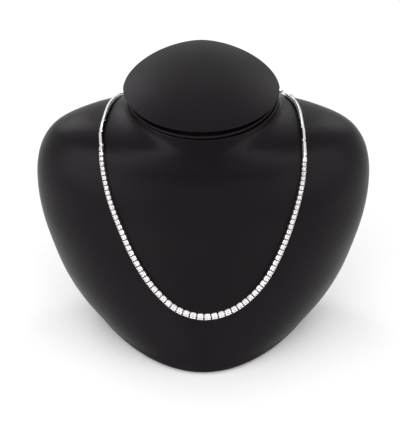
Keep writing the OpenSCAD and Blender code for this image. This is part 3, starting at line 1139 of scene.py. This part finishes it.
# The ball catch: its radius, its height over the loop, the latitude where its rings end and their numbers
BALL_R = 0.5 * MM
BALL_UP = 0.3 * MM
BALL_END = 1.4
BALL_STEPS = 9
BALL_TURNS = 20
# The push tongue's place along the box, as a share, and its profile of (radius, height) points
KNOB_AT = 0.06
KNOB = [(0, -0.2 * MM), (0.5 * MM, -0.2 * MM), (0.5 * MM, 0.15 * MM), (0.35 * MM, 0.28 * MM), (0, 0.3 * MM)]
KNOB_TURNS = 24
CLASP_ROD_UP = 0.7 * MM
CLASP_ROD_R = 0.33 * MM


def clasp_box(start):
    """The clasp's box, that starts at a place along x, with milled grooves across its top."""
    pitch = GROOVES_L / GROOVES
    drops = [(0, CLASP_END_DROP), (CLASP_FLAT[0], 0)]
    drops += [(GROOVES_AT + (k + share) * pitch, depth) for k in range(GROOVES) for share, depth in GROOVE]
    drops += [(CLASP_FLAT[1], 0), (1, CLASP_END_DROP)]
    rings = []
    for share, drop in drops:
        top = CLASP_H - drop
        half = [(CLASP_HALF_W - CLASP_LOW_EDGE, 0), (CLASP_HALF_W, CLASP_LOW_EDGE),
                (CLASP_HALF_W, top - CLASP_TOP_EDGE), (CLASP_HALF_W - CLASP_TOP_EDGE, top)]
        section = half + [(-y, z) for y, z in half[::-1]]
        rings.append([(start + share * CLASP_L, y, z) for y, z in section])
    shape = Shape()
    shape.add_rings(rings)
    return shape


def make_clasp(link, after, gold):
    """Box clasp with milled grooves, its push tongue, and a safety loop with a ball catch."""
    start = -link.half_l
    shape = clasp_box(start)
    ring_r = LOOP_R - WIRE_R
    loop_x = start + CLASP_L + ring_r
    loop = []
    for c, s in circle(LOOP_TURNS, 1):
        middle = np.array((loop_x + ring_r * c, ring_r * s, CLASP_H / 2))
        loop.append([middle + (out * c, out * s, up) for out, up in circle(WIRE_SIDES, WIRE_R)])
    shape.add_loop(loop)
    ball = [(0, -BALL_R)] + [(BALL_R * math.cos(t), BALL_R * math.sin(t))
                             for t in np.linspace(-BALL_END, BALL_END, BALL_STEPS)] + [(0, BALL_R)]
    catch = Place((loop_x, -ring_r, CLASP_H / 2 + BALL_UP), (1, 0, 0), (0, 0, 1))
    lathe(shape, ball, catch, BALL_TURNS)
    tongue = Place((start + KNOB_AT * CLASP_L, CLASP_HALF_W, CLASP_H / 2), (1, 0, 0), (0, 1, 0))
    lathe(shape, KNOB, tongue, KNOB_TURNS)
    whole = shape.placed(link.place)
    whole.join(rod(link.place.to_row([loop_x + ring_r, 0, CLASP_H / 2]),
                   after.place.to_row([ROD_ROOT - after.half_l, 0, CLASP_ROD_UP]), CLASP_ROD_R))
    piece = new_piece("box_clasp", whole, gold, "clasp")
    soften(piece, LINK_BEVEL)


# Stage and light

FLOOR_SIZE = 4.0
FLOOR_DROP = 0.05 * MM
FLOOR_TONE = 0.9
PULP_SHARE = 0.06
# Strength of the paper's painted glow, and the places along Y between which it fades towards the back
FLOOR_PAINTED_GLOW = 0.08
FLOOR_PAINTED_GLOW_ENDS = (-90 * MM, 300 * MM)
# Painted shade on the paper in front: how dark it is there, and the places along Y between which it darkens
FLOOR_PAINTED_SHADE_TONE = 0.25
FLOOR_PAINTED_SHADE_EDGE = -140 * MM
FLOOR_PAINTED_SHADE_FULL = -220 * MM
LIGHT_TARGET = Vector((0, 0, 0.09))
LIGHTS = {
    # name: (place, width, height, power in watts)
    "front": ((0.0, -2.15, 1.48), 2.3, 1.32, 16.0),
    "low_left": ((-1.15, -0.95, 0.45), 1.5, 0.9, 10.5),
    "low_right": ((1.15, -0.95, 0.45), 1.5, 0.9, 7.0),
    "top": ((0.0, 0.1, 1.4), 1.2, 1.0, 0.5),
    "back_left": ((-0.8, 1.05, 1.0), 0.7, 0.7, 5.2),
    "back_right": ((0.8, 1.05, 1.0), 0.7, 0.7, 3.4),
}
WORLD_LIGHT = 0.8


def make_stage(material):
    """Paper floor under the object."""
    half = FLOOR_SIZE / 2
    corners = [(x * half, y * half, -FLOOR_DROP) for x, y in ((-1, -1), (1, -1), (1, 1), (-1, 1))]
    mesh = bpy.data.meshes.new("floor")
    mesh.from_pydata(corners, [], [(0, 1, 2, 3)])
    mesh.materials.append(material)
    floor = bpy.data.objects.new("floor", mesh)
    bpy.context.scene.collection.objects.link(floor)


def make_lights():
    """Soft boxes that all point at the object, in an evenly lit white room."""
    for name, (place, width, height, power) in LIGHTS.items():
        data = bpy.data.lights.new(name, "AREA")
        data.shape = "RECTANGLE"
        data.size = width
        data.size_y = height
        data.energy = power
        light = bpy.data.objects.new(name, data)
        light.location = place
        light.rotation_euler = (LIGHT_TARGET - Vector(place)).to_track_quat("-Z", "Y").to_euler()
        bpy.context.scene.collection.objects.link(light)
    world = bpy.data.worlds.new("studio")
    world.use_nodes = True
    tree = world.node_tree
    background = tree.nodes["Background"]
    background.inputs["Color"].default_value = (1, 1, 1, 1)
    background.inputs["Strength"].default_value = WORLD_LIGHT
    bpy.context.scene.world = world
    bpy.context.scene.view_settings.view_transform = "Standard"


make_camera()
leather = leatherette()
gold = white_gold()
glass = diamond()
rows = skin_rows()
make_bust(leather, rows)
make_pad(felt(), rows)
rim = rim_place(rows)
make_ring(leather, rim)
make_cap(leather, rim)
stones = ordered_stones()
make_rows(stones, gold, glass)
links = chain_links(stones)
make_links(links, stones, gold)
clasp_at = [link.node for link in links].index("clasp")
make_clasp(links[clasp_at], links[clasp_at + 1], gold)
make_stage(floor_paper_and_painted_light())
make_lights()
